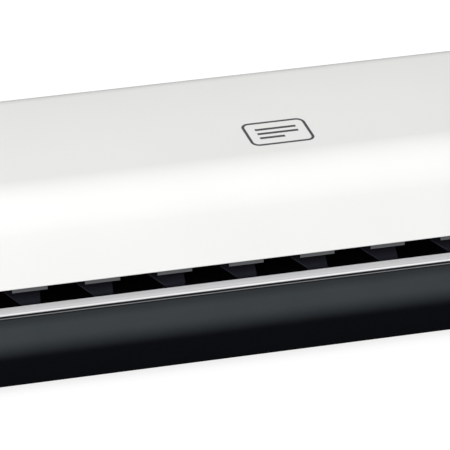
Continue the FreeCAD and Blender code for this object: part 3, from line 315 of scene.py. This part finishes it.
def lens():
    """Indicator strip: smoky green lens with three round lamps behind it."""
    m = Nodes("lens_green", (0.03, 0.05, 0.04), 0.12, coat=0.6)
    low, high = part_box("indicator_lens")
    across = m.math("SUBTRACT", m.axis("X"), (low.x + high.x) / 2)
    from_lamp = m.math("SUBTRACT", m.math("PINGPONG", m.math("ADD", across, 33 * MM), 3 * MM), 3 * MM)
    from_line = m.math("SUBTRACT", m.axis("Y"), (low.y + high.y) / 2)
    reach = m.math("SQRT", m.math("ADD", m.math("MULTIPLY", from_lamp, from_lamp),
                                  m.math("MULTIPLY", from_line, from_line)))
    lamp = m.math("SUBTRACT", 1.0, m.step(reach, 0.8 * MM, 1.1 * MM))
    smoke = m.ramp(m.noise(300, 2), [(0.3, (0.016, 0.026, 0.02)), (0.7, (0.024, 0.036, 0.028))])
    m.colour(m.mix(lamp, smoke, (0.14, 0.62, 0.24)))
    m.bump(m.noise(700, 2), 0.000004)
    return m


FINISHES = {
    "cover_white": glossy_white(),
    "charcoal": charcoal("charcoal"),
    "entry_lip": brushed("entry_lip", (0.78, 0.78, 0.79), 0.36, metallic=0.15),
    "guide_black": guide_black(),
    "plate_steel": brushed("plate_steel", (0.55, 0.56, 0.57), 0.4, along=(40, 40, 40), depth=0.00001),
    "rod_steel": turned("rod_steel", (0.62, 0.62, 0.63), 0.25),
    "screw_steel": turned("screw_steel", (0.4, 0.4, 0.41), 0.32),
    "foot_rubber": moulded("foot_rubber", (0.02, 0.02, 0.02), 0.8, grain=0.00004, grain_scale=1500),
    "silicone": silicone(),
    "bush_plastic": moulded("bush_plastic", (0.75, 0.7, 0.55), 0.45),
    "spring_steel": turned("spring_steel", (0.35, 0.35, 0.36), 0.3),
    "shoe_aluminium": brushed("shoe_aluminium", (0.68, 0.68, 0.69), 0.38),
    "element_film": moulded("element_film", (0.45, 0.2, 0.04), 0.3),
    "shield_aluminium": brushed("shield_aluminium", (0.72, 0.72, 0.73), 0.32),
    "gear_acetal": moulded("gear_acetal", (0.82, 0.8, 0.73), 0.38),
    "pinion_brass": turned("pinion_brass", (0.7, 0.5, 0.2), 0.28),
    "motor_can": turned("motor_can", (0.45, 0.45, 0.46), 0.34),
    "lever_grey": moulded("lever_grey", (0.17, 0.175, 0.18), 0.4),
    "panel_black": moulded("panel_black", (0.009, 0.009, 0.011), 0.12, grain=0.000003, coat=0.5),
    "lens_green": lens(),
    "button_grey": moulded("button_grey", (0.3, 0.305, 0.31), 0.42),
    "board_green": circuit_board(),
    "switch_black": moulded("switch_black", (0.012, 0.012, 0.012), 0.35),
    "pin_brass": turned("pin_brass", (0.66, 0.55, 0.3), 0.25),
    "lead_insulation": moulded("lead_insulation", (0.03, 0.03, 0.034), 0.5),
}

# the base's charcoal also carries the painted highlight, shadow and shade of its top front edge
BASE_FINISH = charcoal("charcoal_base", front_edge=True)
slot_of = {part["node"]: part["material_slot"] for part in frame["record"]["subparts"]}
for node, item in frame["nodes"].items():
    material = (BASE_FINISH if node == "base_tray" else FINISHES[slot_of[node]]).material
    if not item.material_slots:
        item.data.materials.append(material)
    for place in item.material_slots:
        place.material = material


# ---------------------------------------------------------------- smooth shading, curved faces
def smooth_by_angle(name, limit):
    """Modifier that shades faces smooth except across edges sharper than the limit."""
    group = bpy.data.node_groups.new(name, "GeometryNodeTree")
    group.interface.new_socket("Geometry", in_out="INPUT", socket_type="NodeSocketGeometry")
    group.interface.new_socket("Geometry", in_out="OUTPUT", socket_type="NodeSocketGeometry")
    entry = group.nodes.new("NodeGroupInput")
    leave = group.nodes.new("NodeGroupOutput")
    merge = group.nodes.new("GeometryNodeMergeByDistance")
    merge.inputs["Distance"].default_value = 0.000002
    angle = group.nodes.new("GeometryNodeInputMeshEdgeAngle")
    compare = group.nodes.new("FunctionNodeCompare")
    compare.operation = "LESS_EQUAL"
    compare.inputs[1].default_value = math.radians(limit)
    faces = group.nodes.new("GeometryNodeSetShadeSmooth")
    faces.domain = "FACE"
    edges = group.nodes.new("GeometryNodeSetShadeSmooth")
    edges.domain = "EDGE"
    group.links.new(entry.outputs[0], merge.inputs["Geometry"])
    group.links.new(merge.outputs[0], faces.inputs["Geometry"])
    group.links.new(faces.outputs[0], edges.inputs["Geometry"])
    group.links.new(angle.outputs["Unsigned Angle"], compare.inputs[0])
    group.links.new(compare.outputs[0], edges.inputs["Shade Smooth"])
    group.links.new(edges.outputs[0], leave.inputs[0])
    return group


smoothing = smooth_by_angle("smooth_faces", 28)
for item in frame["nodes"].values():
    modifier = item.modifiers.new("smooth", "NODES")
    modifier.node_group = smoothing


# ---------------------------------------------------------------- pressure springs
def pressure_coils():
    """The four springs under the top flange, as a steel copy riding on the chassis."""
    coils = bpy.data.objects.new("pressure_spring_coils", frame["nodes"]["pressure_springs"].data.copy())
    bpy.context.collection.objects.link(coils)
    coils.data.materials.clear()
    coils.data.materials.append(FINISHES["spring_steel"].material)
    coils.data.shade_smooth()
    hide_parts("pressure_springs")
    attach(coils, "chassis")
    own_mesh(coils)


pressure_coils()


# ---------------------------------------------------------------- printed marks
def print_ink(name, base):
    """Ink of a slightly uneven tone."""
    m = Nodes(name, base, 0.4)
    m.colour(m.ramp(m.noise(900, 3), [(0.3, shade(base, 0.85)), (0.7, shade(base, 1.12))]))
    m.bump(m.noise(2500, 2), 0.000004)
    return m.material


TILT = math.radians(8.03)  # slope of the top of the cover
SHOULDER = Vector((0, -47.7 * MM, 75.7 * MM))  # where that slope meets the front curve
PRINT_LIFT = 0.02 * MM
INK_DARK = print_ink("ink_dark", (0.06, 0.06, 0.065))
INK_PALE = print_ink("ink_pale", (0.62, 0.62, 0.62))


def rounded_loop(width, depth, radius, segments=8):
    """Corners of a rounded rectangle about the origin, anticlockwise."""
    spots = []
    for quarter, (sx, sy) in enumerate(((1, 1), (-1, 1), (-1, -1), (1, -1))):
        centre = Vector((sx * (width / 2 - radius), sy * (depth / 2 - radius), 0))
        for i in range(segments + 1):
            angle = math.radians(90 * quarter + 90 * i / segments)
            spots.append(centre + radius * Vector((math.cos(angle), math.sin(angle), 0)))
    return spots


def circle_loop(radius, start=0.0, end=360.0, steps=32):
    """Points of a circle, or of an arc from start towards end in degrees."""
    angles = [math.radians(start + (end - start) * i / steps) for i in range(steps)]
    return [Vector((radius * math.cos(angle), radius * math.sin(angle), 0)) for angle in angles]


class Print:
    """Thin raised ink drawn flat, then laid on a surface."""

    def __init__(self, name, material, thickness=0.05 * MM):
        self.name, self.material, self.thickness = name, material, thickness
        self.mesh = bmesh.new()

    def _raise(self, faces):
        grown = bmesh.ops.extrude_face_region(self.mesh, geom=faces)
        top = [v for v in grown["geom"] if isinstance(v, bmesh.types.BMVert)]
        bmesh.ops.translate(self.mesh, verts=top, vec=(0, 0, self.thickness))

    def patch(self, spots):
        corners = [self.mesh.verts.new(s) for s in spots]
        self._raise([self.mesh.faces.new(corners)])

    def band(self, outer, inner, closed=True):
        """Strip between two loops of equal length."""
        a = [self.mesh.verts.new(s) for s in outer]
        b = [self.mesh.verts.new(s) for s in inner]
        count = len(a) if closed else len(a) - 1
        following = [(i + 1) % len(a) for i in range(count)]
        self._raise([self.mesh.faces.new((a[i], a[j], b[j], b[i])) for i, j in enumerate(following)])

    def bar(self, x, y, width, depth):
        """Rectangle centred on x and y."""
        self.patch([Vector((x - width / 2, y - depth / 2, 0)), Vector((x + width / 2, y - depth / 2, 0)),
                    Vector((x + width / 2, y + depth / 2, 0)), Vector((x - width / 2, y + depth / 2, 0))])

    def lay_on_slope(self, centre, body):
        self.set_down(Matrix.Translation(centre) @ Matrix.Rotation(TILT, 4, "X"), body)

    def set_down(self, placement, body):
        """Finish the mesh as an object at that placement, riding on the body."""
        bmesh.ops.recalc_face_normals(self.mesh, faces=self.mesh.faces)
        data = bpy.data.meshes.new(self.name)
        self.mesh.to_mesh(data)
        self.mesh.free()
        data.materials.append(self.material)
        item = bpy.data.objects.new(self.name, data)
        bpy.context.collection.objects.link(item)
        item.matrix_world = placement
        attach(item, body)


def top_plane(x, y):
    """Point on the sloping top of the cover."""
    return Vector((x, y, SHOULDER.z + (y - SHOULDER.y) * math.tan(TILT)))


def pouch_badge():
    """Generic mark on the cover: a sheet lying in an open pouch."""
    mark = Print("cover_pouch_mark", INK_DARK)
    width, depth, line = 28 * MM, 19.5 * MM, 1.2 * MM
    corner, row_gap, full_row, short_row = 3.6 * MM, 3.6 * MM, 18 * MM, 11 * MM
    mark.band(rounded_loop(width, depth, corner),
              rounded_loop(width - 2 * line, depth - 2 * line, corner - line))
    for row, length in ((row_gap, full_row), (0, full_row), (-row_gap, short_row)):
        mark.bar((length - full_row) / 2, row, length, 1.5 * MM)
    mark.lay_on_slope(top_plane(11.0 * MM, -17.9 * MM) + Vector((0, 0, PRINT_LIFT)), "chassis")


def switch_marks():
    """On and off symbols on the two halves of the rocker."""
    low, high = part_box("power_rocker")
    pivot = Vector(((low.x + high.x) / 2, 69 * MM, 18 * MM))
    rest_lean = math.radians(6)
    dish, half_height, waist = 1.4 * MM, 8 * MM, 3.4 * MM
    stand = Matrix.Rotation(math.radians(180), 4, "Z") @ Matrix.Rotation(math.radians(90), 4, "X")

    def half_face(up):
        """Placement on the rocker's face, at that distance above its pivot."""
        lean = -math.copysign(math.atan2(dish, half_height), up) - rest_lean
        out = waist + dish * abs(up) / half_height + PRINT_LIFT
        away = Matrix.Rotation(-rest_lean, 4, "X") @ Vector((0, out, up))
        return Matrix.Translation(pivot + away) @ Matrix.Rotation(lean, 4, "X") @ stand

    off_mark = Print("off_mark", INK_PALE)
    off_mark.band(circle_loop(1.6 * MM), circle_loop(1.15 * MM))
    off_mark.set_down(half_face(-4.6 * MM), "rocker")
    on_mark = Print("on_mark", INK_PALE)
    on_mark.bar(0, 0, 0.5 * MM, 3.2 * MM)
    on_mark.set_down(half_face(4.6 * MM), "rocker")


def button_marks():
    """Generic symbols on the button caps."""
    low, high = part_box("control_panel")
    panel = top_plane((low.x + high.x) / 2, -14 * MM)
    normal = Vector((0, -math.sin(TILT), math.cos(TILT)))
    up_slope = Vector((0, math.cos(TILT), math.sin(TILT)))
    across, near_row, far_row = 11 * MM, -9.5 * MM, 4.5 * MM
    cap_height = 1.41 * MM

    def cap(x, up):
        return panel + Vector((x, 0, 0)) + up_slope * up + normal * cap_height

    power = Print("standby_mark", INK_PALE)
    power.band(circle_loop(2.5 * MM, 120, 420), circle_loop(2.0 * MM, 120, 420), closed=False)
    power.bar(0, 2.0 * MM, 0.5 * MM, 2.4 * MM)
    power.lay_on_slope(cap(across, near_row), "standby")
    plus = Print("hotter_mark", INK_PALE)
    plus.bar(0, 0, 4.4 * MM, 0.7 * MM)
    plus.bar(0, 1.3 * MM, 0.7 * MM, 1.8 * MM)
    plus.bar(0, -1.3 * MM, 0.7 * MM, 1.8 * MM)
    plus.lay_on_slope(cap(across, far_row), "hotter")
    minus = Print("cooler_mark", INK_PALE)
    minus.bar(0, 0, 4.4 * MM, 0.7 * MM)
    minus.lay_on_slope(cap(-across, far_row), "cooler")
    back = Print("reverse_mark", INK_PALE)
    half_width, half_length = 2.2 * MM, 1.9 * MM
    back.patch([Vector((-half_width, -half_length, 0)), Vector((half_width, -half_length, 0)),
                Vector((0, half_length, 0))])
    back.lay_on_slope(cap(-across, near_row), "reverse")


pouch_badge()
button_marks()
switch_marks()

# ---------------------------------------------------------------- studio
SOFTBOX_STRENGTH, AMBIENT_STRENGTH = 0.73, 0.43
FLOOR_GLOW, FLOOR_REACH = 0.82, 6.0
scene = bpy.context.scene
scene.view_settings.view_transform = "Standard"
world = bpy.data.worlds.new("studio")
scene.world = world
world.use_nodes = True
sky = world.node_tree.nodes["Background"]
sky.inputs["Color"].default_value = (1, 1, 1, 1)


def sky_node(kind, **settings):
    node = world.node_tree.nodes.new(kind)
    for key, value in settings.items():
        setattr(node, key, value)
    return node


def softbox_edge(tilt, start, end):
    """Smooth rise from start to end degrees of tilt towards the front."""
    node = sky_node("ShaderNodeMapRange", interpolation_type="SMOOTHSTEP")
    node.inputs["From Min"].default_value = math.radians(start)
    node.inputs["From Max"].default_value = math.radians(end)
    world.node_tree.links.new(tilt, node.inputs["Value"])
    return node.outputs["Result"]


def sky_math(operation, a, b):
    node = sky_node("ShaderNodeMath", operation=operation)
    for socket, value in zip(node.inputs, (a, b)):
        if hasattr(value, "is_output"):
            world.node_tree.links.new(value, socket)
        else:
            socket.default_value = value
    return node.outputs[0]


direction = sky_node("ShaderNodeSeparateXYZ")
world.node_tree.links.new(sky_node("ShaderNodeTexCoord").outputs["Generated"], direction.inputs[0])
tilt = sky_math("ARCTAN2", sky_math("MULTIPLY", direction.outputs["Y"], -1.0), direction.outputs["Z"])
softbox = sky_math("SUBTRACT", softbox_edge(tilt, -50, 24), softbox_edge(tilt, 64, 76))
brightness = sky_math("ADD", sky_math("MULTIPLY", softbox, SOFTBOX_STRENGTH), AMBIENT_STRENGTH)
world.node_tree.links.new(brightness, sky.inputs["Strength"])

floor_data = bpy.data.meshes.new("floor")
corners = [(x * FLOOR_REACH, y * FLOOR_REACH, 0) for x, y in ((-1, -1), (1, -1), (1, 1), (-1, 1))]
floor_data.from_pydata(corners, [], [(0, 1, 2, 3)])
floor = bpy.data.objects.new("floor", floor_data)
bpy.context.collection.objects.link(floor)
floor_finish = Nodes("floor_white", (0.25, 0.25, 0.25), 0.9, specular=0.0)
floor_finish.bump(floor_finish.noise(300, 2), 0.00002)
floor_finish.shader.inputs["Emission Color"].default_value = (1, 1, 1, 1)
seen = floor_finish.add("ShaderNodeLightPath").outputs["Is Camera Ray"]
glow = floor_finish.math("MULTIPLY", seen, FLOOR_GLOW)
floor_finish.link(glow, floor_finish.shader.inputs["Emission Strength"])
floor_data.materials.append(floor_finish.material)


def area_light(name, position, target, width, depth, power):
    data = bpy.data.lights.new(name, "AREA")
    data.shape = "RECTANGLE"
    data.size, data.size_y = width, depth
    data.energy = power
    lamp = bpy.data.objects.new(name, data)
    bpy.context.collection.objects.link(lamp)
    lamp.location = position
    lamp.rotation_euler = (Vector(target) - Vector(position)).to_track_quat("-Z", "Y").to_euler()
    return lamp


area_light("front_fill", (-1.45, -2.06, 0.7), (0, 0, 0.06), 1.6, 1.0, 37)

# ---------------------------------------------------------------- camera
AZIMUTH, ELEVATION, DISTANCE = math.radians(17.75), math.radians(22.3), 2.113
AIM = Vector((-19.4 * MM, -40 * MM, 50.1 * MM))
gaze = Vector((math.sin(AZIMUTH) * math.cos(ELEVATION), math.cos(AZIMUTH) * math.cos(ELEVATION),
               -math.sin(ELEVATION)))
camera_data = bpy.data.cameras.new("camera")
camera_data.lens = 405.3
camera_data.clip_start, camera_data.clip_end = 0.05, 30
camera = bpy.data.objects.new("camera", camera_data)
bpy.context.collection.objects.link(camera)
camera.location = AIM - gaze * DISTANCE
camera.rotation_euler = gaze.to_track_quat("-Z", "Y").to_euler()
scene.camera = camera
